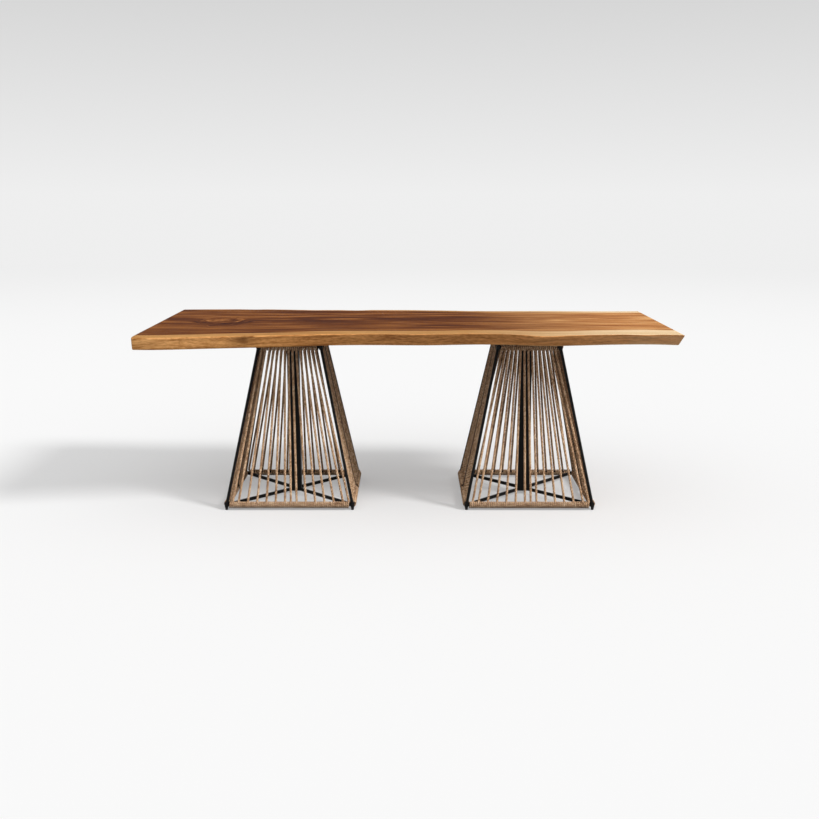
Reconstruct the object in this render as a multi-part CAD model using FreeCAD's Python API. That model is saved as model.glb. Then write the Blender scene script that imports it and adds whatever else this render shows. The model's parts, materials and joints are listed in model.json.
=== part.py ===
import FreeCAD, Part
import math
import os

# Dining table: one live-edge wooden slab on two tapered steel pedestals.
# Each pedestal is a square cage of black steel whose four faces are strung with rope.
# Millimetres. +X runs along the slab, +Y to its back edge, +Z up, origin on the floor under the middle.

V = FreeCAD.Vector

# Slab
table_height = 762.0
slab_length = 2140.0
slab_width = 1016.0
slab_thickness = 52.0
slab_edge_round = 5.0
# The live edges: place along the slab as a share of its half length, and how far in from its widest line.
front_edge_inset = [
    (-1.00, 6.0), (-0.90, 0.0), (-0.80, 14.0), (-0.64, 40.0), (-0.50, 60.0), (-0.30, 101.0), (-0.08, 101.0),
    (0.08, 92.0), (0.27, 107.0), (0.39, 84.0), (0.50, 54.0), (0.62, 62.0), (0.82, 86.0), (1.00, 60.0),
]
back_edge_inset = [
    (-1.00, 4.0), (-0.80, 0.0), (-0.64, 5.0), (-0.46, 34.0), (-0.23, 42.0), (0.00, 48.0), (0.19, 75.0),
    (0.37, 97.0), (0.58, 89.0), (0.80, 101.0), (1.00, 95.0),
]
# The sawn log slopes in under its live edges, more towards the right end of the front edge.
front_undercut_left = 8.0
front_undercut_right = 76.0
back_undercut = 30.0

# Pedestals
pedestal_spacing = 1006.0
base_ring_half = 264.0
base_ring_height = 22.0
top_ring_half = 131.0
top_ring_drop = 41.0
rail_diameter = 12.0
rail_wall = 2.0
leg_diameter = 12.0
upright_diameter = 10.0
corner_block_margin = 1.0
corner_block_height = 20.0
corner_block_round = 2.0
top_post_margin = 1.0
column_size = 50.0
column_wall = 3.0
column_lift = 15.0
column_cap_thickness = 4.0
brace_thickness = 5.0
brace_height = 14.0
brace_rail_clearance = 0.3

# Feet: round glides on threaded studs, screwed up under the corner blocks
foot_diameter = 12.0
foot_round = 4.0
foot_stud_diameter = 8.0
foot_stud_length = 14.0
foot_stud_clearance = 0.05
foot_hole_spare = 2.0

# Top plates and the bolts that hold the slab
plate_thickness = 6.0
plate_corner_round = 20.0
bolt_edge_distance = 14.0
bolt_rope_clearance = 1.2
bolt_half_spread = 90.0
bolt_diameter = 8.0
bolt_reach = 20.0
bolt_head_across_flats = 13.0
bolt_head_height = 5.3
washer_diameter = 18.0
washer_thickness = 1.6
bolt_hole_clearance = 0.5
slot_travel = 8.0
insert_diameter = 12.0
insert_length = 22.0
insert_bolt_clearance = 0.05
insert_well_spare = 4.0

# Rope: each length winds the base rail, climbs the face and winds the top rail
rope_diameter = 7.0
rope_turn_gap = 0.42
rope_seat_clearance = 0.3
wide_gaps_in_half_face = 5
strand_narrow_gap = 24.3
base_first_spare = 5.0
base_last_spare = 3.0
top_end_spare = 0.5
end_turn_pitch = 8.0
rope_tail = 5.0
strand_exit_angle = math.radians(45.0)
strand_bend_tangent = 8.0

slab_underside = table_height - slab_thickness
plate_underside = slab_underside - plate_thickness
top_ring_height = slab_underside - top_ring_drop
corner_block_size = rail_diameter + 2 * corner_block_margin
top_post_size = rail_diameter + 2 * top_post_margin
block_top = base_ring_height + corner_block_height / 2
block_underside = base_ring_height - corner_block_height / 2
leg_slope = (base_ring_half - top_ring_half) / (top_ring_height - base_ring_height)
post_underside = top_ring_height - corner_block_height / 2
rope_radius = rope_diameter / 2
coil_radius = rail_diameter / 2 + rope_seat_clearance + rope_radius
bolt_head_radius = bolt_head_across_flats / 2 / math.cos(math.pi / 6)
bolt_line = top_ring_half + coil_radius + rope_radius + bolt_rope_clearance + bolt_head_radius
plate_size = 2 * (bolt_line + bolt_edge_distance)

PEDESTALS = [("left", -pedestal_spacing / 2), ("right", pedestal_spacing / 2)]
CORNERS = [("front_left", -1, -1), ("front_right", 1, -1), ("back_right", 1, 1), ("back_left", -1, 1)]
# Each face is the front one turned about the pedestal's middle.
FACES = [("front", 0.0), ("right", 90.0), ("back", 180.0), ("left", 270.0)]
# A bar stands in the middle of these faces in place of the middle strand.
BARRED_FACES = ("right", "left")


def export(name, shapes):
    shape = shapes[0] if len(shapes) == 1 else Part.makeCompound(shapes)
    shape.exportStep(os.path.join("parts", name + ".step"))
    volume = sum(solid.Volume for solid in shape.Solids)
    print("%-32s solids %3d  valid %s  volume %.0f mm3" % (name, len(shape.Solids), shape.isValid(), volume))


def centred_box(size_x, size_y, low_z, high_z, x=0.0, y=0.0):
    corner = V(x - size_x / 2, y - size_y / 2, low_z)
    return Part.makeBox(size_x, size_y, high_z - low_z, corner)


def upright_edges(solid):
    found = []
    for edge in solid.Edges:
        start, end = edge.Vertexes[0].Point, edge.Vertexes[-1].Point
        if abs(start.x - end.x) < 1e-6 and abs(start.y - end.y) < 1e-6:
            found.append(edge)
    return found


def placed(shape, x, turn=0.0):
    copy = shape.copy()
    copy.rotate(V(0, 0, 0), V(0, 0, 1), turn)
    copy.translate(V(x, 0, 0))
    return copy


# Slab

def slab_outline(z, edge_inset, undercut_share):
    half_length = slab_length / 2 - edge_inset
    half_width = slab_width / 2 - edge_inset
    front = []
    for share, inset in front_edge_inset:
        slope = front_undercut_left + (front_undercut_right - front_undercut_left) * (share + 1) / 2
        front.append(V(share * half_length, -half_width + inset + slope * undercut_share, z))
    back = []
    for share, inset in reversed(back_edge_inset):
        back.append(V(share * half_length, half_width - inset - back_undercut * undercut_share, z))
    front_curve = Part.BSplineCurve()
    front_curve.interpolate(front)
    back_curve = Part.BSplineCurve()
    back_curve.interpolate(back)
    right_end = Part.LineSegment(front[-1], back[0])
    left_end = Part.LineSegment(back[-1], front[0])
    return Part.Wire([part.toShape() for part in (front_curve, right_end, back_curve, left_end)])


def bolt_places():
    places = []
    for across in (-bolt_half_spread, bolt_half_spread):
        for along in (-bolt_line, bolt_line):
            places.append((across, along))
            places.append((along, across))
    return places


def make_slab():
    sections = [
        slab_outline(table_height, slab_edge_round, 0.0),
        slab_outline(table_height - slab_edge_round, 0.0, 0.0),
        slab_outline(slab_underside + slab_edge_round, 0.0, 1.0),
        slab_outline(slab_underside, slab_edge_round, 1.0),
    ]
    slab = Part.makeLoft(sections, True, True)
    well_depth = insert_length + insert_well_spare
    wells = []
    for side, x in PEDESTALS:
        for px, py in bolt_places():
            wells.append(Part.makeCylinder(insert_diameter / 2, well_depth, V(x + px, py, slab_underside)))
    return slab.cut(Part.makeCompound(wells))


# Bolts, washers and threaded inserts

def make_bolt():
    head_top = plate_underside - washer_thickness
    rim = []
    for k in range(7):
        angle = k * math.pi / 3
        rim.append(V(bolt_head_radius * math.cos(angle), bolt_head_radius * math.sin(angle),
                     head_top - bolt_head_height))
    head = Part.Face(Part.makePolygon(rim)).extrude(V(0, 0, bolt_head_height))
    shank_length = slab_underside + bolt_reach - head_top
    shank = Part.makeCylinder(bolt_diameter / 2, shank_length, V(0, 0, head_top))
    return head.fuse(shank).removeSplitter()


def make_washer():
    low = V(0, 0, plate_underside - washer_thickness)
    disc = Part.makeCylinder(washer_diameter / 2, washer_thickness, low)
    return disc.cut(Part.makeCylinder(bolt_diameter / 2 + bolt_hole_clearance, washer_thickness, low))


def make_insert():
    low = V(0, 0, slab_underside)
    sleeve = Part.makeCylinder(insert_diameter / 2, insert_length, low)
    return sleeve.cut(Part.makeCylinder(bolt_diameter / 2 + insert_bolt_clearance, insert_length, low))


def export_bolted(name, piece):
    copies = []
    for side, x in PEDESTALS:
        for px, py in bolt_places():
            copy = piece.copy()
            copy.translate(V(x + px, py, 0))
            copies.append(copy)
    export(name, copies)


# Steel cage

def make_rail(half, height, end_block):
    length = 2 * half - end_block
    start = V(-length / 2, -half, height)
    tube = Part.makeCylinder(rail_diameter / 2, length, start, V(1, 0, 0))
    return tube.cut(Part.makeCylinder(rail_diameter / 2 - rail_wall, length, start, V(1, 0, 0)))


def make_leg(sx, sy):
    lean = V(-sx * leg_slope, -sy * leg_slope, 1.0)
    spare = leg_diameter
    ring_corner = V(sx * base_ring_half, sy * base_ring_half, base_ring_height)
    start = ring_corner + lean * (corner_block_height / 2 - spare)
    rise = post_underside - block_top + 2 * spare
    bar = Part.makeCylinder(leg_diameter / 2, rise * lean.Length, start, lean)
    return bar.common(centred_box(4 * base_ring_half, 4 * base_ring_half, block_top, post_underside))


def make_corner_block(sx, sy):
    # Rounded on the three upright edges that show; the inner edge stays sharp for the brace welded to it.
    block = centred_box(corner_block_size, corner_block_size, block_underside, block_top)
    inner = -corner_block_size / 2
    shown = [edge for edge in upright_edges(block)
             if edge.CenterOfMass.x * sx > inner + 1e-6 or edge.CenterOfMass.y * sy > inner + 1e-6]
    block = block.makeFillet(corner_block_round, shown)
    hole_radius = foot_stud_diameter / 2 + foot_stud_clearance
    hole_depth = foot_stud_length + foot_hole_spare
    block = block.cut(Part.makeCylinder(hole_radius, hole_depth, V(0, 0, block_underside)))
    block.translate(V(sx * base_ring_half, sy * base_ring_half, 0))
    return block


def make_top_post(sx, sy):
    return centred_box(top_post_size, top_post_size, post_underside, plate_underside,
                       sx * top_ring_half, sy * top_ring_half)


def make_column():
    outer = centred_box(column_size, column_size, column_lift + column_cap_thickness, plate_underside)
    bore = column_size - 2 * column_wall
    return outer.cut(centred_box(bore, bore, column_lift + column_cap_thickness, plate_underside))


def make_column_cap():
    return centred_box(column_size, column_size, column_lift, column_lift + column_cap_thickness)


def make_brace(sx, sy):
    reach = base_ring_half * math.sqrt(2)
    low = base_ring_height - brace_height / 2
    bar = Part.makeBox(reach, brace_thickness, brace_height, V(0, -brace_thickness / 2, low))
    bar.rotate(V(0, 0, 0), V(0, 0, 1), math.degrees(math.atan2(sy, sx)))
    room = 2 * (base_ring_half - rail_diameter / 2 - brace_rail_clearance)
    bar = bar.common(centred_box(room, room, 0, plate_underside))
    block = centred_box(corner_block_size, corner_block_size, block_underside, block_top,
                        sx * base_ring_half, sy * base_ring_half)
    column = centred_box(column_size, column_size, 0, plate_underside)
    return bar.cut(column).cut(block)


def make_plate():
    plate = centred_box(plate_size, plate_size, plate_underside, slab_underside)
    plate = plate.makeFillet(plate_corner_round, upright_edges(plate))
    slot_radius = bolt_diameter / 2 + bolt_hole_clearance
    slots = []
    for x, y in bolt_places():
        slots.append(centred_box(2 * slot_radius, slot_travel, plate_underside, slab_underside, x, y))
        for end in (-slot_travel / 2, slot_travel / 2):
            slots.append(Part.makeCylinder(slot_radius, plate_thickness, V(x, y + end, plate_underside)))
    for slot in slots:
        plate = plate.cut(slot)
    return plate


def make_foot(sx, sy):
    radius = foot_diameter / 2
    shoulder = foot_round * (1 - math.sqrt(0.5))
    top = block_underside
    stud = foot_stud_diameter / 2
    stud_top = top + foot_stud_length
    round_start = V(radius - foot_round, 0, 0)
    round_end = V(radius, 0, foot_round)
    round_corner = Part.Arc(round_start, V(radius - shoulder, 0, shoulder), round_end)
    outline = [round_end, V(radius, 0, top), V(stud, 0, top), V(stud, 0, stud_top), V(0, 0, stud_top),
               V(0, 0, 0), round_start]
    wire = Part.Wire(Part.makePolygon(outline).Edges + [round_corner.toShape()])
    foot = Part.Face(wire).revolve(V(0, 0, 0), V(0, 0, 1), 360)
    foot.translate(V(sx * base_ring_half, sy * base_ring_half, 0))
    return foot


# Rope on one face
# A place on the face is (along, out, up): along the rails, out of the plane of the rails' axes, and up that
# plane, counted from the base rail's axis.

face_rise = V(0, base_ring_half - top_ring_half, top_ring_height - base_ring_height)
face_length = face_rise.Length
face_up = face_rise * (1 / face_length)
face_out = V(0, -face_up.z, face_up.y)


def on_face(along, out, up):
    return V(along, -base_ring_half, base_ring_height) + face_out * out + face_up * up


def line(start, end):
    return Part.LineSegment(start, end).toShape()


def arc_by_apex(start, apex, end):
    half_chord = (end - start).Length / 2
    cosine = half_chord / (apex - start).Length
    if cosine > 1 - 1e-9:
        return line(start, end)
    middle = (start + end) * 0.5
    return Part.Arc(start, middle + (apex - middle) * (cosine / (1 + cosine)), end).toShape()


def biarc(start, start_way, end, end_way):
    chord = end - start
    ways = start_way + end_way
    spread = 2 * (1 - start_way.dot(end_way))
    along = chord.dot(ways)
    reach = (math.sqrt(along ** 2 + spread * chord.Length ** 2) - along) / spread
    first_apex = start + start_way * reach
    second_apex = end - end_way * reach
    joint = (first_apex + second_apex) * 0.5
    return [arc_by_apex(start, first_apex, joint), arc_by_apex(joint, second_apex, end)]


def coil_place(axis_up, along, angle):
    return on_face(along, coil_radius * math.cos(angle), axis_up + coil_radius * math.sin(angle))


def coil_way(pitch, angle):
    way = V(pitch / (2 * math.pi), 0, 0)
    way = way - face_out * (coil_radius * math.sin(angle)) + face_up * (coil_radius * math.cos(angle))
    return way * (1 / way.Length)


def coil(axis_up, start_along, pitch, angles):
    edges = []
    for first, last in zip(angles, angles[1:]):
        start = coil_place(axis_up, start_along + pitch * (first - angles[0]) / (2 * math.pi), first)
        end = coil_place(axis_up, start_along + pitch * (last - angles[0]) / (2 * math.pi), last)
        edges += biarc(start, coil_way(pitch, first), end, coil_way(pitch, last))
    return edges


def strand_run(base_along, base_pitch, top_along, top_pitch):
    # Off the top of the base winding into the plane of the rails' axes, up that plane, and into the top winding.
    lag = strand_exit_angle / (2 * math.pi)
    first = coil_place(0.0, base_along + base_pitch * lag, strand_exit_angle)
    last = coil_place(face_length, top_along - top_pitch * lag, -strand_exit_angle)
    base_way = coil_way(base_pitch, strand_exit_angle)
    top_way = coil_way(top_pitch, -strand_exit_angle)
    out = coil_radius * math.cos(strand_exit_angle)
    low_apex = first - base_way * (out / base_way.dot(face_out))
    high_apex = last - top_way * (out / top_way.dot(face_out))
    bend_start = low_apex - base_way * strand_bend_tangent
    bend_end = high_apex + top_way * strand_bend_tangent
    lean = high_apex - low_apex
    lean = lean * (strand_bend_tangent / lean.Length)
    return [
        line(first, bend_start),
        arc_by_apex(bend_start, low_apex, low_apex + lean),
        line(low_apex + lean, high_apex - lean),
        arc_by_apex(high_apex - lean, high_apex, bend_end),
        line(bend_end, last),
    ]


def corner_reach(ring_half):
    # How far along a rail its winding can go before it meets the next rail's winding inside the corner.
    return ring_half - coil_radius - (rope_diameter + rope_turn_gap) / math.sqrt(2)


def base_strand_places():
    # Narrow gaps lie at both ends and either side of the middle strand, with wide gaps between them.
    first = end_turn_pitch / 2 + base_first_spare - corner_reach(base_ring_half)
    last = corner_reach(base_ring_half) - base_last_spare
    wide_gap = (last - first - 4 * strand_narrow_gap) / (2 * wide_gaps_in_half_face)
    gaps = [strand_narrow_gap] + [wide_gap] * wide_gaps_in_half_face + [strand_narrow_gap]
    places = [first]
    for gap in gaps + gaps:
        places.append(places[-1] + gap)
    return places


def top_strand_places(count):
    first = top_end_spare - corner_reach(top_ring_half)
    last = corner_reach(top_ring_half) - end_turn_pitch / 2 - top_end_spare
    step = (last - first) / (count - 1)
    return [first + step * k for k in range(count)]


def turns_in(gap):
    return int(gap / (rope_diameter + rope_turn_gap) + 1e-9)


def rope_path(k, base_places, top_places, barred):
    # Both windings stop half a turn short of the neighbouring strand, on the rail's inner side, where the rope's
    # tail runs straight and is cut. Those at the ends of a rail have no such neighbour and go a quarter turn on.
    quarter = math.pi / 2
    middle = len(base_places) // 2
    if k == 0:
        base_turns, base_pitch, base_first = 1, end_turn_pitch, quarter
    else:
        gap = base_places[k] - base_places[k - 1]
        base_turns, base_first = turns_in(gap), 2 * quarter
        base_pitch = gap / base_turns
    if k == len(top_places) - 1:
        top_turns, top_pitch, top_last = 1, end_turn_pitch, 3 * quarter
    else:
        gap = top_places[k + 1] - top_places[k]
        top_turns = turns_in(gap)
        top_pitch = gap / top_turns
        top_last = 2 * quarter
    # The windings next to a bar give up a turn to it, but each rope keeps one turn on its rail.
    if barred and k == middle + 1:
        base_turns = max(1, base_turns - 1)
    if barred and k == middle - 1:
        top_turns = max(1, top_turns - 1)
    base_angles = [base_first] if k == 0 else []
    base_angles += [2 * quarter * half for half in range(1, 2 * base_turns + 1)]
    base_angles.append(4 * quarter * base_turns + strand_exit_angle)
    top_angles = [-strand_exit_angle] + [2 * quarter * half for half in range(2 * top_turns)]
    if top_last > 2 * quarter:
        top_angles.append(4 * quarter * (top_turns - 1) + top_last)
    turn = 2 * math.pi
    base_start = base_places[k] - base_pitch * (base_turns - base_first / turn)
    top_start = top_places[k] - top_pitch * strand_exit_angle / turn
    base_edges = coil(0.0, base_start, base_pitch, base_angles)
    top_edges = coil(face_length, top_start, top_pitch, top_angles)
    base_end = coil_place(0.0, base_start, base_first)
    top_end = coil_place(face_length, top_places[k] + top_pitch * (top_turns - 1 + top_last / turn), top_last)
    strand = strand_run(base_places[k], base_pitch, top_places[k], top_pitch)
    base_tail = line(base_end - coil_way(base_pitch, base_first) * rope_tail, base_end)
    top_tail = line(top_end, top_end + coil_way(top_pitch, top_last) * rope_tail)
    return [base_tail] + base_edges + strand + top_edges + [top_tail]


def sample(edges):
    points = []
    travelled = 0.0
    for edge in edges:
        steps = max(2, int(edge.Length / 2.0))
        for k in range(steps):
            point = edge.valueAt(edge.FirstParameter + (edge.LastParameter - edge.FirstParameter) * k / steps)
            points.append((travelled + edge.Length * k / steps, point))
        travelled += edge.Length
    return points


def least_gap(points, others, same_rope):
    least = face_length
    for place, point in points:
        for other_place, other in others:
            if same_rope and abs(place - other_place) < math.pi * coil_radius:
                continue
            if abs(point.x - other.x) < least and abs(point.z - other.z) < least:
                least = min(least, (point - other).Length)
    return least - rope_diameter


def make_rope_face(barred):
    base_places = base_strand_places()
    top_places = top_strand_places(len(base_places))
    ropes = []
    samples = []
    for k in range(len(base_places)):
        if barred and k == len(base_places) // 2:
            continue
        edges = rope_path(k, base_places, top_places, barred)
        path = Part.Wire(edges)
        start = edges[0].valueAt(edges[0].FirstParameter)
        way = edges[0].tangentAt(edges[0].FirstParameter)
        section = Part.Wire(Part.makeCircle(rope_radius, start, way))
        rope = path.makePipeShell([section], True, False)
        ropes.append(rope)
        samples.append(sample(edges[1:-1]))
        length = sum(edge.Length for edge in edges)
        share = rope.Volume / (length * math.pi * rope_radius ** 2)
        print("rope %2d  length %.0f mm  volume / (section x length) %.4f  least gap to itself %.2f mm"
              % (k + 1, length, share, least_gap(samples[-1], samples[-1], True)))
    between = [least_gap(a, b, False) for a, b in zip(samples, samples[1:])]
    print("least gap between neighbouring ropes, without their cut ends %.2f mm" % min(between))
    return Part.makeCompound(ropes)


def make_upright():
    bar = Part.makeCylinder(upright_diameter / 2, face_length, on_face(0, 0, 0), face_up)
    for half, height in ((base_ring_half, base_ring_height), (top_ring_half, top_ring_height)):
        rail_start = V(-2 * rail_diameter, -half, height)
        bar = bar.cut(Part.makeCylinder(rail_diameter / 2, 4 * rail_diameter, rail_start, V(1, 0, 0)))
    return bar


def build_pedestal(side, x, open_rope, barred_rope):
    base_rail = make_rail(base_ring_half, base_ring_height, corner_block_size)
    top_rail = make_rail(top_ring_half, top_ring_height, top_post_size)
    for face, turn in FACES:
        export("%s_base_rail_%s" % (side, face), [placed(base_rail, x, turn)])
        export("%s_top_rail_%s" % (side, face), [placed(top_rail, x, turn)])
        rope_face = barred_rope if face in BARRED_FACES else open_rope
        export("%s_rope_%s" % (side, face), placed(rope_face, x, turn).Solids)
    for corner, sx, sy in CORNERS:
        export("%s_leg_%s" % (side, corner), [placed(make_leg(sx, sy), x)])
        export("%s_foot_%s" % (side, corner), [placed(make_foot(sx, sy), x)])
    barred_turns = [turn for face, turn in FACES if face in BARRED_FACES]
    export("%s_uprights" % side, [placed(make_upright(), x, turn) for turn in barred_turns])
    export("%s_corner_blocks" % side, [placed(make_corner_block(sx, sy), x) for corner, sx, sy in CORNERS])
    export("%s_top_posts" % side, [placed(make_top_post(sx, sy), x) for corner, sx, sy in CORNERS])
    export("%s_base_braces" % side, [placed(make_brace(sx, sy), x) for corner, sx, sy in CORNERS])
    export("%s_column" % side, [placed(make_column(), x)])
    export("%s_top_plate" % side, [placed(make_plate(), x)])


os.makedirs("parts", exist_ok=True)
export("slab", [make_slab()])
export_bolted("slab_bolts", make_bolt())
export_bolted("slab_washers", make_washer())
export_bolted("slab_inserts", make_insert())
export("column_caps", [placed(make_column_cap(), x) for side, x in PEDESTALS])
shared_open_rope = make_rope_face(False)
shared_barred_rope = make_rope_face(True)
for pedestal, middle in PEDESTALS:
    build_pedestal(pedestal, middle, shared_open_rope, shared_barred_rope)
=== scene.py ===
import json
import math
import bmesh
import bpy
from mathutils import Matrix, Vector, noise


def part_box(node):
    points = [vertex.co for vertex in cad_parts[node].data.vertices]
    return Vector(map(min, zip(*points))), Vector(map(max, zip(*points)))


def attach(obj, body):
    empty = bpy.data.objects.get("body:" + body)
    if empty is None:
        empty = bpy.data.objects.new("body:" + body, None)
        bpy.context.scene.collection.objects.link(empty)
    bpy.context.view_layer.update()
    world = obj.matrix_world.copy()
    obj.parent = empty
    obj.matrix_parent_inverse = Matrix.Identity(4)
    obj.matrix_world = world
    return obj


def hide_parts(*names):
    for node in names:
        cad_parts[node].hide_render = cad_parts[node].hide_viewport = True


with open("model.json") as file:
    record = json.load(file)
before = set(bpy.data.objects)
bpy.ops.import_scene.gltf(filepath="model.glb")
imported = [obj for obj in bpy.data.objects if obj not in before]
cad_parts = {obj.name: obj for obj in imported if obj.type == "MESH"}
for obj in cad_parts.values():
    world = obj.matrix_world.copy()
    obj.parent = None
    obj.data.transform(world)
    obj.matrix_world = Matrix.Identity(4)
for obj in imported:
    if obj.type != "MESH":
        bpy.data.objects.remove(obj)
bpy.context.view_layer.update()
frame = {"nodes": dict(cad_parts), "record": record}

# Slab
# One board of raintree sawn lengthways through the log, so both long sides keep the tree's own
# line. Its ends are cut square, its top is planed, and all of it is sanded and rubbed with oil.

mm = 0.001
slab_low, slab_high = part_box("slab")
slab_size = slab_high - slab_low
slab_cad = frame["nodes"]["slab"]
crest_round, end_arris = 6.5 * mm, 3 * mm
# The sawn slab's edges are read this far under its top and above its underside.
reading_depth = 6 * mm
# Cuts 8 mm apart along the board, 21 mm across it and 6 mm through it.
board_cuts = (266, 48, 6)
# The sapwood's width at the left end and at the right end.
front_sapwood = (62 * mm, 150 * mm)
back_sapwood = (22 * mm, 66 * mm)
# This far in, the live edge is set back a little, waves along its length and has low ridges.
uneven_reach = 60 * mm
set_back, wave_depth, ridge_depth = 2 * mm, 2 * mm, 1.2 * mm
# The crest is full on the right and worn round on the left, and it sags where the wood was
# softer, most of all in one dip of the front edge.
worn_share, worn_depth = 0.55, 5 * mm
soft_level, soft_depth = 0.1, 6 * mm
dip_place, dip_reach, dip_depth = 0.52, 0.07, 5 * mm


def live_edge(x, side, z):
    # Where the sawn slab's front or back edge lies at this place along it and this height.
    just_inside, well_outside = 0.1 * mm, 2.0
    x = max(slab_low.x + just_inside, min(slab_high.x - just_inside, x))
    return slab_cad.ray_cast(Vector((x, side * well_outside, z)), Vector((0, -side, 0)))[1].y


def run(edge, axis):
    return abs(edge.verts[0].co[axis] - edge.verts[1].co[axis])


def mesh_of(shape, name):
    mesh = bpy.data.meshes.new(name)
    shape.to_mesh(mesh)
    shape.free()
    return mesh


def placed(name, data):
    made = bpy.data.objects.new(name, data)
    bpy.context.scene.collection.objects.link(made)
    return made


slab_shape = bmesh.new()
bmesh.ops.create_cube(slab_shape, size=1.0)
bmesh.ops.scale(slab_shape, vec=slab_size, verts=slab_shape.verts)
bmesh.ops.translate(slab_shape, vec=(slab_low + slab_high) / 2, verts=slab_shape.verts)
long_edges = [e for e in slab_shape.edges if run(e, 0) > slab_size.x / 2]
bmesh.ops.bevel(slab_shape, geom=long_edges, offset=crest_round, segments=5, profile=0.5,
                affect="EDGES", material=-1)
end_edges = [e for e in slab_shape.edges if run(e, 0) < mm]
bmesh.ops.bevel(slab_shape, geom=end_edges, offset=end_arris, segments=2, profile=0.5,
                affect="EDGES", material=-1)
for axis, cuts in enumerate(board_cuts):
    whole = [e for e in slab_shape.edges if run(e, axis) > slab_size[axis] / 2]
    bmesh.ops.subdivide_edges(slab_shape, edges=whole, cuts=cuts, use_grid_fill=True)

upper, lower = slab_high.z - reading_depth, slab_low.z + reading_depth
edge_lines = {}
sap_share = slab_shape.verts.layers.float.new("sap_share")
for v in slab_shape.verts:
    x, y, z = v.co
    key = round(x, 5)
    if key not in edge_lines:
        edge_lines[key] = {side: (live_edge(x, side, upper), live_edge(x, side, lower))
                           for side in (-1, 1)}
    side = -1 if y < 0 else 1
    top_line, bottom_line = edge_lines[key][side]
    height = (z - lower) / (upper - lower)
    line = bottom_line + (top_line - bottom_line) * height
    y = y * line / (slab_low.y if side < 0 else slab_high.y)
    near = max(0.0, 1 - abs(line - y) / uneven_reach) ** 2
    # The wave is some 250 mm long, and the ridges some 125 mm long and 22 mm high.
    wave = noise.noise((x * 4.0, side * 3.0, z * 5.0))
    ridge = noise.noise((x * 8.0 + 40, side * 7.0, z * 45.0))
    y -= side * near * (set_back + wave_depth * wave + ridge_depth * ridge)
    along = (x - slab_low.x) / slab_size.x
    worn = max(0.0, worn_share - along) * worn_depth
    sag = max(0.0, noise.noise((x * 6.0, 20.0 + side, 0.0)) - soft_level) * soft_depth
    if side < 0:
        sag += dip_depth * math.exp(-((x - dip_place) / dip_reach) ** 2)
    z -= near ** 2 * (worn + sag) * max(0.0, height)
    v.co = Vector((x, y, z))
    front_width, back_width = (left + (right - left) * along
                               for left, right in (front_sapwood, back_sapwood))
    front, back = edge_lines[key][-1][0], edge_lines[key][1][0]
    v[sap_share] = min((y - front) / front_width, (back - y) / back_width)
bmesh.ops.recalc_face_normals(slab_shape, faces=slab_shape.faces)
for face in slab_shape.faces:
    face.smooth = True
slab_mesh = mesh_of(slab_shape, "live_edge_slab")
live_edge_slab = placed("live_edge_slab", slab_mesh)


def linear(code):
    values = [int(code[k:k + 2], 16) / 255 for k in (1, 3, 5)]
    return [v / 12.92 if v <= 0.04045 else ((v + 0.055) / 1.055) ** 2.4 for v in values] + [1.0]


def node(tree, kind, inputs=None, stops=(), **settings):
    made = tree.nodes.new("ShaderNode" + kind)
    for name, value in settings.items():
        setattr(made, name, value)
    for socket, source in (inputs or {}).items():
        if isinstance(source, bpy.types.NodeSocket):
            tree.links.new(source, made.inputs[socket])
        else:
            made.inputs[socket].default_value = source
    for k, (place, code) in enumerate(stops):
        stop = made.color_ramp.elements[k] if k < 2 else made.color_ramp.elements.new(place)
        stop.position = place
        stop.color = linear(code)
    return made


def new_finish(name):
    finish = bpy.data.materials.new(name)
    finish.use_nodes = True
    return finish, finish.node_tree, finish.node_tree.nodes["Principled BSDF"]


# Oiled raintree: red-brown heartwood in long bands and fine dark streaks that turn golden towards
# the right end, pale sapwood along the live edges, and open pores. The oil leaves a very low sheen
# that is duller in the pores.
wood, t, surface = new_finish("oiled_raintree")
place = node(t, "TexCoord").outputs["Object"]
x, y, z = node(t, "SeparateXYZ", {0: place}).outputs
# The grain wanders by some 40 mm in a metre.
wander_waves, wander_reach = (1.1, 2.2, 2.2), 90 * mm
wander = node(t, "Mapping", {"Vector": place, "Scale": wander_waves})
wander = node(t, "TexNoise", {"Vector": wander.outputs[0], "Scale": 1.0, "Detail": 2.0})
wander = node(t, "Math", {0: wander.outputs["Fac"], 1: 0.5}, operation="SUBTRACT")
flow = node(t, "Math", {0: wander.outputs[0], 1: wander_reach, 2: y}, operation="MULTIPLY_ADD")
flow = flow.outputs[0]
# It flows round a swirl on the top and a knot in the front edge. Each has a middle, a reach and a
# width of grain that it pushes aside. Neither is round: their outlines stray by some 30 mm.
swirl_spot = ((-0.80, -0.03, 0.76), (0.17, 0.22, 0.25), 150 * mm)
knot_spot = ((-0.63, -0.47, 0.735), (0.085, 0.07, 0.045), 40 * mm)
stray_patch, stray_reach = 120 * mm, (160 * mm, 160 * mm, 30 * mm)
stray = node(t, "TexNoise", {"Vector": place, "Scale": 1 / stray_patch, "Detail": 2.0})
stray = node(t, "VectorMath", {0: stray.outputs["Color"], 1: (0.5, 0.5, 0.5)},
             operation="SUBTRACT")
stray = node(t, "VectorMath", {0: stray.outputs[0], 1: stray_reach, 2: place},
             operation="MULTIPLY_ADD")
areas = []
for middle, reach, push in (swirl_spot, knot_spot):
    off = node(t, "VectorMath", {0: stray.outputs[0], 1: middle}, operation="SUBTRACT")
    off = node(t, "VectorMath", {0: off.outputs[0], 1: reach}, operation="DIVIDE")
    off = node(t, "VectorMath", {0: off.outputs[0]}, operation="LENGTH")
    area = node(t, "MapRange", {"Value": off.outputs["Value"], "From Min": 1.0, "From Max": 0.0},
                interpolation_type="SMOOTHERSTEP").outputs[0]
    areas.append(area)
    flow = node(t, "Math", {0: area, 1: push, 2: flow}, operation="MULTIPLY_ADD").outputs[0]
swirl_area, knot_area = areas
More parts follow.
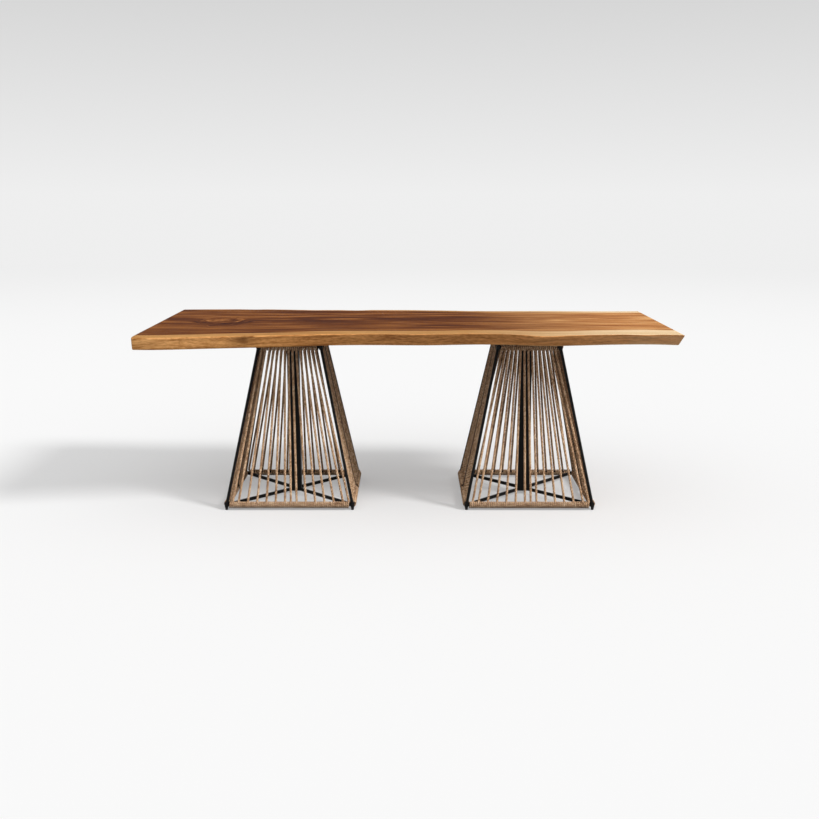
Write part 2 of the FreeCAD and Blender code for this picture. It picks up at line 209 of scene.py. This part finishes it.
# Growth rings lie round the log's heart, 140 mm under the top. Its two halves differ.
heart_side, heart_height, half_step = 0.07, 0.62, 3.0
across = node(t, "Math", {0: flow, 1: heart_side}, operation="SUBTRACT").outputs[0]
under = node(t, "Math", {0: z, 1: heart_height}, operation="SUBTRACT").outputs[0]
radial = node(t, "CombineXYZ", {"Y": across, "Z": under}).outputs[0]
ring = node(t, "VectorMath", {0: radial}, operation="LENGTH").outputs["Value"]
half = node(t, "Math", {0: across}, operation="SIGN").outputs[0]
grain = node(t, "CombineXYZ", {"X": x, "Y": ring, "Z": half}).outputs[0]
# Broad bands, figure, narrow bands and streaks, each far longer than wide, with their share of
# the tone.
tone = 0.0
for length, width, detail, share in ((1.5, 60 * mm, 2.0, 0.24), (0.34, 26 * mm, 2.0, 0.36),
                                     (0.24, 7 * mm, 2.0, 0.28), (0.10, 1.6 * mm, 1.0, 0.12)):
    size = node(t, "Mapping", {"Vector": grain, "Scale": (1 / length, 1 / width, half_step)})
    band = node(t, "TexNoise", {"Vector": size.outputs[0], "Scale": 1.0, "Detail": detail})
    tone = node(t, "Math", {0: band.outputs["Fac"], 1: share, 2: tone},
                operation="MULTIPLY_ADD").outputs[0]
# In the swirl, figure 110 mm long and 13 mm wide stands out.
swirl_level, swirl_strength = 0.53, 0.9
swirl = node(t, "Mapping", {"Vector": grain, "Scale": (9, 75, half_step)})
swirl = node(t, "TexNoise", {"Vector": swirl.outputs[0], "Scale": 1.0, "Detail": 2.0})
swirl = node(t, "Math", {0: swirl.outputs["Fac"], 1: swirl_level}, operation="SUBTRACT")
swirl = node(t, "Math", {0: swirl.outputs[0], 1: swirl_area}, operation="MULTIPLY")
tone = node(t, "Math", {0: swirl.outputs[0], 1: swirl_strength, 2: tone},
            operation="MULTIPLY_ADD").outputs[0]
# One stretch left of the middle is darker.
dark_place = -0.42
stretch = node(t, "Math", {0: x, 1: dark_place}, operation="SUBTRACT")
stretch = node(t, "Math", {0: stretch.outputs[0]}, operation="ABSOLUTE")
stretch = node(t, "MapRange", {"Value": stretch.outputs[0], "From Min": 0.1, "From Max": 0.35,
                               "To Min": -0.03, "To Max": 0.0})
tone = node(t, "Math", {0: tone, 1: stretch.outputs[0]}, operation="ADD").outputs[0]
to_right = node(t, "MapRange", {"Value": x, "From Min": 0.17, "From Max": 1.0},
                interpolation_type="SMOOTHSTEP").outputs[0]
dark_heart = node(t, "ValToRGB", {0: tone},
                  [(0.39, "#3a1409"), (0.61, "#b0733d"), (0.50, "#6b3915")]).outputs[0]
pale_heart = node(t, "ValToRGB", {0: tone},
                  [(0.39, "#935528"), (0.61, "#e6b47a"), (0.50, "#c88a52")]).outputs[0]
heart = node(t, "Mix", {0: to_right, 6: dark_heart, 7: pale_heart}, data_type="RGBA").outputs[2]
gold_sap = node(t, "ValToRGB", {0: tone}, [(0.38, "#a5723e"), (0.62, "#cb9a60")]).outputs[0]
pale_sap = node(t, "ValToRGB", {0: tone}, [(0.38, "#deb884"), (0.62, "#f4dbb5")]).outputs[0]
sap = node(t, "Mix", {0: to_right, 6: gold_sap, 7: pale_sap}, data_type="RGBA").outputs[2]
# The line between sapwood and heartwood is ragged, in tongues 250 mm long and 40 mm wide.
ragged_share = 0.3
ragged = node(t, "Mapping", {"Vector": place, "Scale": (4, 25, 25)})
ragged = node(t, "TexNoise", {"Vector": ragged.outputs[0], "Scale": 1.0, "Detail": 3.0})
depth = node(t, "Attribute", attribute_name="sap_share").outputs["Fac"]
ragged = node(t, "Math", {0: ragged.outputs["Fac"], 1: ragged_share, 2: depth},
              operation="MULTIPLY_ADD")
in_heart = node(t, "MapRange", {"Value": ragged.outputs[0], "From Min": 1.05, "From Max": 1.17},
                interpolation_type="SMOOTHSTEP").outputs[0]
board = node(t, "Mix", {0: in_heart, 6: sap, 7: heart}, data_type="RGBA").outputs[2]
# The live edge is the log's outer skin, golden brown, with grain 140 mm long and 9 mm high that
# flows along it and over the knot.
bend_lift, knot_lift = 50 * mm, 30 * mm
bend = node(t, "Mapping", {"Vector": place, "Scale": (5, 5, 12)})
bend = node(t, "TexNoise", {"Vector": bend.outputs[0], "Scale": 1.0, "Detail": 1.0})
lifted = node(t, "Math", {0: bend.outputs["Fac"], 1: bend_lift, 2: z}, operation="MULTIPLY_ADD")
lifted = node(t, "Math", {0: knot_area, 1: knot_lift, 2: lifted.outputs[0]},
              operation="MULTIPLY_ADD")
skin = node(t, "CombineXYZ", {"X": x, "Y": y, "Z": lifted.outputs[0]})
skin = node(t, "Mapping", {"Vector": skin.outputs[0],
                           "Scale": (1 / (140 * mm), 1 / (100 * mm), 1 / (9 * mm))})
skin = node(t, "TexNoise", {"Vector": skin.outputs[0], "Scale": 1.0, "Detail": 3.0,
                            "Roughness": 0.55})
# Short flecks, 20 mm long and 6 mm high, lie over the flowing grain.
fleck_strength = 0.5
fleck = node(t, "Mapping", {"Vector": place,
                            "Scale": (1 / (20 * mm), 1 / (20 * mm), 1 / (6 * mm))})
fleck = node(t, "TexNoise", {"Vector": fleck.outputs[0], "Scale": 1.0, "Detail": 2.0})
fleck = node(t, "Math", {0: fleck.outputs["Fac"], 1: 0.5}, operation="SUBTRACT")
skin = node(t, "Math", {0: fleck.outputs[0], 1: fleck_strength, 2: skin.outputs["Fac"]},
            operation="MULTIPLY_ADD")
skin = node(t, "MapRange", {"Value": skin.outputs[0], "From Min": 0.3, "From Max": 0.7})
from_left = node(t, "MapRange", {"Value": x, "From Min": slab_low.x, "From Max": slab_high.x})
skin_dark = node(t, "ValToRGB", {0: from_left.outputs[0]},
                 [(0.0, "#a9713c"), (1.0, "#b0723e"), (0.3, "#ad6e3b"), (0.5, "#a56b3d")])
skin_pale = node(t, "ValToRGB", {0: from_left.outputs[0]},
                 [(0.0, "#e9b072"), (1.0, "#f0aa6b"), (0.3, "#f5b06a"), (0.5, "#eda867")])
skin = node(t, "Mix", {0: skin.outputs[0], 6: skin_dark.outputs[0], 7: skin_pale.outputs[0]},
            data_type="RGBA").outputs[2]
knot_shade = 0.95
shade = node(t, "Math", {0: knot_area, 1: knot_shade}, operation="MULTIPLY").outputs[0]
skin = node(t, "Mix", {0: shade, 6: skin, 7: linear("#6f4423")}, data_type="RGBA").outputs[2]
# Faces that look forwards or back show this skin.
normal = node(t, "NewGeometry").outputs["Normal"]
outward = node(t, "SeparateXYZ", {0: normal}).outputs
side_on = node(t, "Math", {0: outward["Y"]}, operation="ABSOLUTE").outputs[0]
on_edge = node(t, "MapRange", {"Value": side_on, "From Min": 0.3, "From Max": 0.6},
               interpolation_type="SMOOTHSTEP").outputs[0]
board = node(t, "Mix", {0: on_edge, 6: board, 7: skin}, data_type="RGBA").outputs[2]
# The sawn ends drink more oil and look darker.
end_on = node(t, "Math", {0: outward["X"]}, operation="ABSOLUTE").outputs[0]
end_on = node(t, "MapRange", {"Value": end_on, "From Min": 0.6, "From Max": 0.95,
                              "To Max": 0.45}).outputs[0]
board = node(t, "Mix", {0: end_on, 6: board, 7: linear("#55331c")}, data_type="RGBA").outputs[2]
# Pores 0.4 mm wide and 8 mm long, drawn about four times too large so that they show.
pore_length, pore_width = 30 * mm, 1.6 * mm
pore_shade, pore_dulling, pore_sink, oil_dulness = 0.45, 0.2, -0.6, 0.55
pores = node(t, "Mapping", {"Vector": place,
                            "Scale": (1 / pore_length, 1 / pore_width, 1 / pore_width)})
pores = node(t, "TexNoise", {"Vector": pores.outputs[0], "Scale": 1.0, "Detail": 1.0})
pores = node(t, "MapRange", {"Value": pores.outputs["Fac"], "From Min": 0.60,
                             "From Max": 0.74}).outputs[0]
shade = node(t, "Math", {0: pores, 1: pore_shade}, operation="MULTIPLY").outputs[0]
board = node(t, "Mix", {0: shade, 6: board, 7: linear("#3c2213")}, data_type="RGBA").outputs[2]
t.links.new(board, surface.inputs["Base Color"])
dull = node(t, "Math", {0: pores, 1: pore_dulling, 2: oil_dulness}, operation="MULTIPLY_ADD")
t.links.new(dull.outputs[0], surface.inputs["Roughness"])
surface.inputs["Specular IOR Level"].default_value = 0.01
relief = node(t, "Math", {0: pores, 1: pore_sink, 2: tone}, operation="MULTIPLY_ADD").outputs[0]
relief = node(t, "Bump", {"Height": relief, "Strength": 0.35, "Distance": 0.6 * mm})
t.links.new(relief.outputs[0], surface.inputs["Normal"])
slab_mesh.materials.append(wood)
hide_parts("slab")
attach(live_edge_slab, "table")

# Bolts, washers and threaded inserts
# Zinc-plated M8 fasteners that hold the slab to the two top plates, screwed up from below.
# The plating is a soft grey metal with a faint cloudiness.


def give(slot, finish):
    # Every CAD piece of this slot takes the finish.
    for row in frame["record"]["subparts"]:
        if row["material_slot"] == slot:
            materials = frame["nodes"][row["node"]].data.materials
            materials.clear()
            materials.append(finish)


zinc, t, surface = new_finish("zinc_plated_steel")
place = node(t, "TexCoord").outputs["Object"]
cloud = node(t, "TexNoise", {"Vector": place, "Scale": 1 / (6 * mm), "Detail": 2.0}).outputs["Fac"]
colour = node(t, "ValToRGB", {0: cloud}, [(0.3, "#a3a5a4"), (0.7, "#c9cac6")]).outputs[0]
t.links.new(colour, surface.inputs["Base Color"])
dull = node(t, "MapRange", {"Value": cloud, "To Min": 0.28, "To Max": 0.45}).outputs[0]
t.links.new(dull, surface.inputs["Roughness"])
surface.inputs["Metallic"].default_value = 1.0
give("zinc_steel", zinc)

# Pedestal frames
# Each is a tapered cage of mild steel: round rails, legs and side uprights, square corner blocks
# and posts, flat braces laid crosswise, a square column and a slotted top plate, all welded and
# powder coated satin black.

pedestals = {"left": -503 * mm, "right": 503 * mm}
base_half, base_height = 264 * mm, 22 * mm
top_half, top_height = 131 * mm, 669 * mm
# Powder coat: a soft, nearly black skin with a faint orange peel that breaks up its highlights.
black, t, surface = new_finish("black_powder_coat")
place = node(t, "TexCoord").outputs["Object"]
patch = node(t, "TexNoise", {"Vector": place, "Scale": 1 / (50 * mm), "Detail": 3.0}).outputs["Fac"]
colour = node(t, "ValToRGB", {0: patch}, [(0.35, "#080706"), (0.65, "#0e0c0b")]).outputs[0]
t.links.new(colour, surface.inputs["Base Color"])
dull = node(t, "MapRange", {"Value": patch, "To Min": 0.42, "To Max": 0.6}).outputs[0]
t.links.new(dull, surface.inputs["Roughness"])
surface.inputs["Specular IOR Level"].default_value = 0.14
peel = node(t, "TexNoise", {"Vector": place, "Scale": 1 / (1.2 * mm), "Detail": 2.0}).outputs["Fac"]
peel = node(t, "Bump", {"Height": peel, "Strength": 0.25, "Distance": 0.2 * mm}).outputs[0]
t.links.new(peel, surface.inputs["Normal"])
give("black_steel", black)

# Weld beads
# Where round bars meet the corner blocks, posts and rails, a bead of weld runs round the joint.
# It is ground lightly and powder coated with the frame, so it shows as a low rippled collar.

leg_radius, upright_radius = 6 * mm, 5 * mm
block_top, post_underside = 32 * mm, 659 * mm
rail_reach = 7 * mm
bead, dabs, dab_swell = 1.2 * mm, 9, 0.22
slope = (base_half - top_half) / (top_height - base_height)


def half_at(height):
    return base_half - slope * (height - base_height)


def weld_collar(collars, middle, way, radius):
    # A small round bead spun about the bar's axis, swelling with each dab of the torch.
    ring = bmesh.new()
    upright = Matrix.Translation((radius, 0, 0)) @ Matrix.Rotation(math.pi / 2, 4, "X")
    bmesh.ops.create_circle(ring, segments=6, radius=bead, matrix=upright)
    bmesh.ops.spin(ring, geom=ring.verts[:] + ring.edges[:], cent=(0, 0, 0), axis=(0, 0, 1),
                   angle=2 * math.pi, steps=28, use_merge=True)
    turn = way.to_track_quat("Z", "Y").to_matrix()
    for v in ring.verts:
        swell = 1 + dab_swell * math.sin(dabs * math.atan2(v.co.y, v.co.x))
        flat = Vector((v.co.x, v.co.y, 0)).normalized() * radius
        v.co = turn @ (flat + (v.co - flat) * swell) + middle
    collar = mesh_of(ring, "weld_collar")
    collars.from_mesh(collar)
    bpy.data.meshes.remove(collar)


for side, middle in pedestals.items():
    collars = bmesh.new()
    for sx in (-1, 1):
        for sy in (-1, 1):
            for height in (block_top, post_underside):
                corner = Vector((middle + sx * half_at(height), sy * half_at(height), height))
                weld_collar(collars, corner, Vector((0, 0, 1)), leg_radius)
        for height in (base_height + rail_reach, top_height - rail_reach):
            end = Vector((middle + sx * half_at(height), 0, height))
            weld_collar(collars, end, Vector((-sx * slope, 0, 1)), upright_radius)
    bmesh.ops.recalc_face_normals(collars, faces=collars.faces)
    for face in collars.faces:
        face.smooth = True
    mesh = mesh_of(collars, side + "_weld_beads")
    mesh.materials.append(black)
    beads = placed(side + "_weld_beads", mesh)
    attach(beads, "table")

# Rope
# Three-strand jute, 7 mm thick and twisted right-handed. Each length winds the base rail, rises
# taut in the plane of the rails and winds the top rail, and its cut ends are tucked inside. On the
# side faces, a steel upright stands in the middle rope's place.

coil_radius = 10.5 * mm
rope_crest, rope_shoulder, rope_groove = 3.9 * mm, 0.96 * 3.9 * mm, 2.9 * mm
slack_swell = 1.28
rope_lay = 36 * mm
narrow_gap, wide_gap = 24.3 * mm, 38.8706 * mm
first_base, first_top, top_gap = -239.953 * mm, -115.453 * mm, 16.2076 * mm
# The least room for a turn, the outermost windings' pitch, and the cut end that is tucked in.
turn_room, end_pitch, tail = 7.42 * mm, 8 * mm, 5 * mm
# A rope leaves its winding an eighth of a turn from the rail's outer side.
exit_turn = 1 / 8
# The points that guide the rope's spline, which runs a little inside a ring of them.
points_in_turn, point_gap = 16, 5.5 * mm
ring_share = (3 + math.cos(2 * math.pi / points_in_turn)) / 4
face_up = Vector((0, base_half - top_half, top_height - base_height))
face_length = face_up.length
face_up.normalize()
face_out = Vector((0, -face_up.z, face_up.y))
base_places = [first_base]
for gap in 2 * ([narrow_gap] + 5 * [wide_gap] + [narrow_gap]):
    base_places.append(base_places[-1] + gap)
last_strand = len(base_places) - 1
middle_strand = len(base_places) // 2


def on_face(along, out, up):
    return Vector((along, -base_half, base_height)) + face_out * out + face_up * up


def heading(pitch, turn):
    # Which way the rope runs at this turn of a winding.
    angle = 2 * math.pi * turn
    round_rail = (face_up * math.cos(angle) - face_out * math.sin(angle)) * coil_radius
    return (Vector((pitch / (2 * math.pi), 0, 0)) + round_rail).normalized()


def winding(axis_up, along, pitch, first, last):
    guides = []
    radius = coil_radius / ring_share
    for k in range(round((last - first) * points_in_turn) + 1):
        turn = first + k / points_in_turn
        angle = 2 * math.pi * turn
        guides.append(on_face(along + pitch * turn, radius * math.cos(angle),
                              axis_up + radius * math.sin(angle)))
    return guides


def rope_guides(k, barred):
    base_place, top_place = base_places[k], first_top + top_gap * k
    base_room = base_place - base_places[k - 1] if k else end_pitch
    top_room = top_gap if k < last_strand else end_pitch
    base_turns, top_turns = int(base_room / turn_room), int(top_room / turn_room)
    base_pitch, top_pitch = base_room / base_turns, top_room / top_turns
    # The windings next to an upright give up a turn to it.
    if barred and k == middle_strand + 1:
        base_turns -= 1
    if barred and k == middle_strand - 1:
        top_turns -= 1
    base_first = 0.5 if k else -0.5
    top_last = top_turns - (0.5 if k < last_strand else 0.25)
    base_coil = winding(0, base_place - base_pitch * base_turns, base_pitch, base_first,
                        base_turns + exit_turn)
    top_coil = winding(face_length, top_place, top_pitch, -exit_turn, top_last)
    slip = exit_turn + 1 / (2 * math.pi)
    low = on_face(base_place + base_pitch * slip, 0, coil_radius * math.sqrt(2))
    high = on_face(top_place - top_pitch * slip, 0, face_length - coil_radius * math.sqrt(2))
    count = round((high - low).length / point_gap)
    strand = [low + (high - low) * (n / count) for n in range(count + 1)]
    start = base_coil[0] - heading(base_pitch, base_first) * tail
    end = top_coil[-1] + heading(top_pitch, top_last) * tail
    # The rope is pressed thinner where it winds the rails, and swells where it runs free.
    swell = ([1.0] * (len(base_coil) + 1) + [slack_swell] * len(strand)
             + [1.0] * (len(top_coil) + 1))
    return [start] + base_coil + strand + top_coil + [end], swell


# The rope's section has three strands: each has a crest between shoulders, and grooves part them.
strand_section = (rope_crest, rope_shoulder, rope_groove, rope_shoulder)
# How much of the jute's colour each section point keeps: the grooves between strands are painted
# dark, as shade.
strand_unshaded = (1.0, 0.8, 0.0, 0.8)
section_points = 3 * len(strand_section)
section = bpy.data.curves.new("rope_section", "CURVE")
outline = section.splines.new("POLY")
outline.points.add(section_points - 1)
for k, point in enumerate(outline.points):
    radius = strand_section[k % len(strand_section)]
    angle = 2 * math.pi * k / section_points
    point.co = (radius * math.cos(angle), radius * math.sin(angle), 0, 1)
outline.use_cyclic_u = True
section_object = placed("rope_section", section)
# A longer step than this is the jump to the next rope, where the fibre pattern moves on.
longest_step, next_rope = 20 * mm, 0.37
fibre_radius = 3.5 * mm
# Little light gets down between the turns on a rail, so from this slant on their sides are painted
# darker, as shade.
winding_reach, shaded_slant = 1.2 * coil_radius, 0.6


def strung_face(barred):
    strung = bpy.data.curves.new("strung_face", "CURVE")
    strung.dimensions = "3D"
    strung.twist_mode = "MINIMUM"
    strung.bevel_mode = "OBJECT"
    strung.bevel_object = section_object
    strung.use_fill_caps = True
    for k in range(len(base_places)):
        if barred and k == middle_strand:
            continue
        guides, swell = rope_guides(k, barred)
        spline = strung.splines.new("NURBS")
        spline.points.add(len(guides) - 1)
        travelled = 0.0
        for point, guide, before, radius in zip(spline.points, guides, guides[:1] + guides, swell):
            travelled += (guide - before).length
            point.radius = radius
            point.co = (*guide, 1)
            point.tilt = 2 * math.pi * travelled / rope_lay
        spline.order_u = 3
        spline.use_endpoint_u = True
        spline.resolution_u = 2
    strung_object = placed("strung_face", strung)
    seen = bpy.context.evaluated_depsgraph_get()
    mesh = bpy.data.meshes.new_from_object(strung_object.evaluated_get(seen))
    bpy.data.objects.remove(strung_object)
    # The fibres run along the strands. The grooves between them, and the turns' sides on a rail,
    # keep less of the colour: painted shade.
    for name, kind in (("fibre", "FLOAT_VECTOR"), ("unshaded_share", "FLOAT")):
        mesh.attributes.new(name, kind, "POINT")
    fibre, unshaded_share = mesh.attributes["fibre"], mesh.attributes["unshaded_share"]
    travelled, before = 0.0, None
    for first in range(0, len(mesh.vertices), section_points):
        ring = [mesh.vertices[first + k].co for k in range(section_points)]
        centre = sum(ring, Vector()) / section_points
        step = (centre - before).length if before else 0.0
        travelled += step if step < longest_step else next_rope
        before = centre
        up = (centre - on_face(0, 0, 0)).dot(face_up)
        wound = min(abs(up), abs(up - face_length)) < winding_reach
        for k, point in enumerate(ring):
            angle = 2 * math.pi * k / section_points
            fibre.data[first + k].vector = (fibre_radius * math.cos(angle),
                                            fibre_radius * math.sin(angle), travelled)
            unshaded = strand_unshaded[k % len(strand_unshaded)]
            # Painted shade on the sides of the turns that wind a rail.
            if wound:
                slant = abs((point - centre).normalized().x)
                unshaded *= 1 - max(0.0, slant - shaded_slant) / (1 - shaded_slant)
            unshaded_share.data[first + k].value = unshaded
    return mesh


# Jute: dull tan fibre with darker and lighter hairs along each strand, grooves between the strands
# painted dark as shade, and a faint bloom of loose hairs at grazing angles. Real hairs are 0.1 mm
# thick and are drawn ten times coarser.
hair_width, hair_length, hair_share = 1 * mm, 12 * mm, 0.55
jute, t, surface = new_finish("twisted_jute")
along = node(t, "Attribute", attribute_name="fibre").outputs["Vector"]
unshaded_share = node(t, "Attribute", attribute_name="unshaded_share").outputs["Fac"]
place = node(t, "TexCoord").outputs["Object"]
hairs = node(t, "Mapping", {"Vector": along,
                            "Scale": (1 / hair_width, 1 / hair_width, 1 / hair_length)})
hairs = node(t, "TexNoise", {"Vector": hairs.outputs[0], "Scale": 1.0, "Detail": 2.0})
hairs = hairs.outputs["Fac"]
tone = node(t, "Math", {0: hairs, 1: hair_share}, operation="MULTIPLY").outputs[0]
# The fibre's colour varies along the rope, in patches of 40 mm and 6 mm.
for patch, share in ((40 * mm, 0.25), (6 * mm, 0.8)):
    batch = node(t, "TexNoise", {"Vector": place, "Scale": 1 / patch, "Detail": 1.0}).outputs["Fac"]
    tone = node(t, "Math", {0: batch, 1: share, 2: tone}, operation="MULTIPLY_ADD").outputs[0]
colour = node(t, "ValToRGB", {0: tone},
              [(0.62, "#7d5a3f"), (0.98, "#fbdcb9"), (0.8, "#d6aa81")]).outputs[0]
# Painted shade: the grooves between strands and the sides of the turns on a rail are darkened
# towards dark brown.
groove_shade = node(t, "MapRange", {"Value": unshaded_share, "From Min": 0.0, "From Max": 0.8,
                              "To Min": 0.8, "To Max": 0.0}).outputs[0]
colour = node(t, "Mix", {0: groove_shade, 6: colour, 7: linear("#3d2a1b")}, data_type="RGBA").outputs[2]
t.links.new(colour, surface.inputs["Base Color"])
surface.inputs["Roughness"].default_value = 0.85
surface.inputs["Specular IOR Level"].default_value = 0.15
surface.inputs["Sheen Weight"].default_value = 0.15
surface.inputs["Sheen Roughness"].default_value = 0.5
fuzz = node(t, "Bump", {"Height": hairs, "Strength": 0.6, "Distance": 0.5 * mm}).outputs[0]
t.links.new(fuzz, surface.inputs["Normal"])

open_face, barred_face = strung_face(False), strung_face(True)
bpy.data.objects.remove(section_object)
for face_mesh in (open_face, barred_face):
    face_mesh.materials.clear()
    face_mesh.materials.append(jute)
for side, middle in pedestals.items():
    for face, turn in (("front", 0), ("right", 90), ("back", 180), ("left", 270)):
        mesh = (barred_face if face in ("right", "left") else open_face).copy()
        turned = Matrix.Rotation(math.radians(turn), 4, "Z")
        mesh.transform(Matrix.Translation((middle, 0, 0)) @ turned)
        strings = placed("%s_jute_%s" % (side, face), mesh)
        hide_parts("%s_rope_%s" % (side, face))
        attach(strings, "table")

# Levelling feet
# Round nylon glides, each moulded on a steel stud that screws into the corner block above it.
# Nylon moulded in a spark-eroded die has a fine even grit and a dull black face.

nylon, t, surface = new_finish("black_nylon")
place = node(t, "TexCoord").outputs["Object"]
grit = node(t, "TexNoise", {"Vector": place, "Scale": 1 / (0.8 * mm), "Detail": 2.0}).outputs["Fac"]
colour = node(t, "ValToRGB", {0: grit}, [(0.3, "#110f0e"), (0.7, "#1b1917")]).outputs[0]
t.links.new(colour, surface.inputs["Base Color"])
surface.inputs["Roughness"].default_value = 0.55
surface.inputs["Specular IOR Level"].default_value = 0.3
grit = node(t, "Bump", {"Height": grit, "Strength": 0.3, "Distance": 0.1 * mm}).outputs[0]
t.links.new(grit, surface.inputs["Normal"])
give("foot_glide", nylon)

# Studio
# A wide pale floor that fades into the pale backdrop, one soft lamp high on the right, and a
# bright overcast surround that is strongest overhead and in front.

floor_reach = 60
floor_shape = bmesh.new()
bmesh.ops.create_circle(floor_shape, cap_ends=True, segments=96, radius=floor_reach)
floor_mesh = mesh_of(floor_shape, "floor")
floor = placed("floor", floor_mesh)


def pale_rays(tree):
    # The rays that find the pale background: the camera's own, mirrored ones and those in glass.
    path = node(tree, "LightPath").outputs
    rays = path["Is Camera Ray"]
    for kind in ("Is Transmission Ray", "Is Glossy Ray"):
        rays = node(tree, "Math", {0: rays, 1: path[kind]}, operation="MAXIMUM").outputs[0]
    return rays


# White paper for those rays, and a greyer floor for the light that it throws back up at the table,
# greyest close to it.
paper_white, paper_glow, glow_share, haze_white = 0.86, 0.95, 0.3, 0.86
paper, t, surface = new_finish("white_paper")
shown = pale_rays(t)
surface.inputs["Roughness"].default_value = 1.0
surface.inputs["Specular IOR Level"].default_value = 0.0
place = node(t, "TexCoord").outputs["Object"]
away = node(t, "VectorMath", {0: place}, operation="LENGTH").outputs["Value"]
thrown = node(t, "MapRange", {"Value": away, "From Min": 0.8, "From Max": 2.2,
                              "To Min": 0.14, "To Max": 0.62}).outputs[0]
sheet = node(t, "Mix", {0: shown, 2: thrown, 3: paper_white}).outputs[0]
t.links.new(sheet, surface.inputs["Base Color"])
glow = node(t, "Emission", {"Color": 3 * (paper_glow,) + (1,), "Strength": shown}).outputs[0]
glow_mix = node(t, "Math", {0: shown, 1: glow_share}, operation="MULTIPLY").outputs[0]
near = node(t, "MixShader", {0: glow_mix, 1: surface.outputs[0], 2: glow}).outputs[0]
haze = node(t, "Emission", {"Color": 3 * (haze_white,) + (1,), "Strength": shown}).outputs[0]
far = node(t, "MapRange", {"Value": away, "From Min": 3.0, "From Max": 16.0},
           interpolation_type="SMOOTHSTEP").outputs[0]
mixed = node(t, "MixShader", {0: far, 1: near, 2: haze}).outputs[0]
t.links.new(mixed, t.nodes["Material Output"].inputs["Surface"])
floor_mesh.materials.append(paper)

studio = bpy.data.worlds.new("studio")
bpy.context.scene.world = studio
studio.use_nodes = True
t = studio.node_tree
way = node(t, "SeparateXYZ", {0: node(t, "TexCoord").outputs["Generated"]}).outputs
overhead = node(t, "MapRange", {"Value": way["Z"], "From Min": 0.0, "From Max": 0.45,
                                "To Min": 0.16, "To Max": 0.68}).outputs[0]
in_front = node(t, "MapRange", {"Value": way["Y"], "From Min": 1.0, "From Max": -1.0,
                                "To Min": 0.3, "To Max": 1.75}).outputs[0]
surround = node(t, "Math", {0: overhead, 1: in_front}, operation="MULTIPLY").outputs[0]
backdrop = node(t, "MapRange", {"Value": way["Z"], "From Min": 0.0, "From Max": 0.17,
                                "To Min": 0.86, "To Max": 0.67}).outputs[0]
level = node(t, "Mix", {0: pale_rays(t), 2: surround, 3: backdrop}).outputs[0]
t.links.new(level, t.nodes["Background"].inputs["Color"])

towards_lamp = Vector((0.73, -0.36, 0.62))
lamp_data = bpy.data.lights.new("key", "SUN")
lamp_data.energy = 2.3
lamp_data.angle = math.radians(14)
lamp = placed("key", lamp_data)
lamp.rotation_euler = towards_lamp.to_track_quat("Z", "Y").to_euler()

looks_down = 11.55
camera_data = bpy.data.cameras.new("camera")
camera_data.lens = 46.55
camera_data.sensor_width = 36
camera = placed("camera", camera_data)
camera.location = (0, -4.536, 1.303)
camera.rotation_euler = (math.radians(90 - looks_down), 0, 0)
bpy.context.scene.camera = camera
bpy.context.scene.view_settings.view_transform = "Standard"
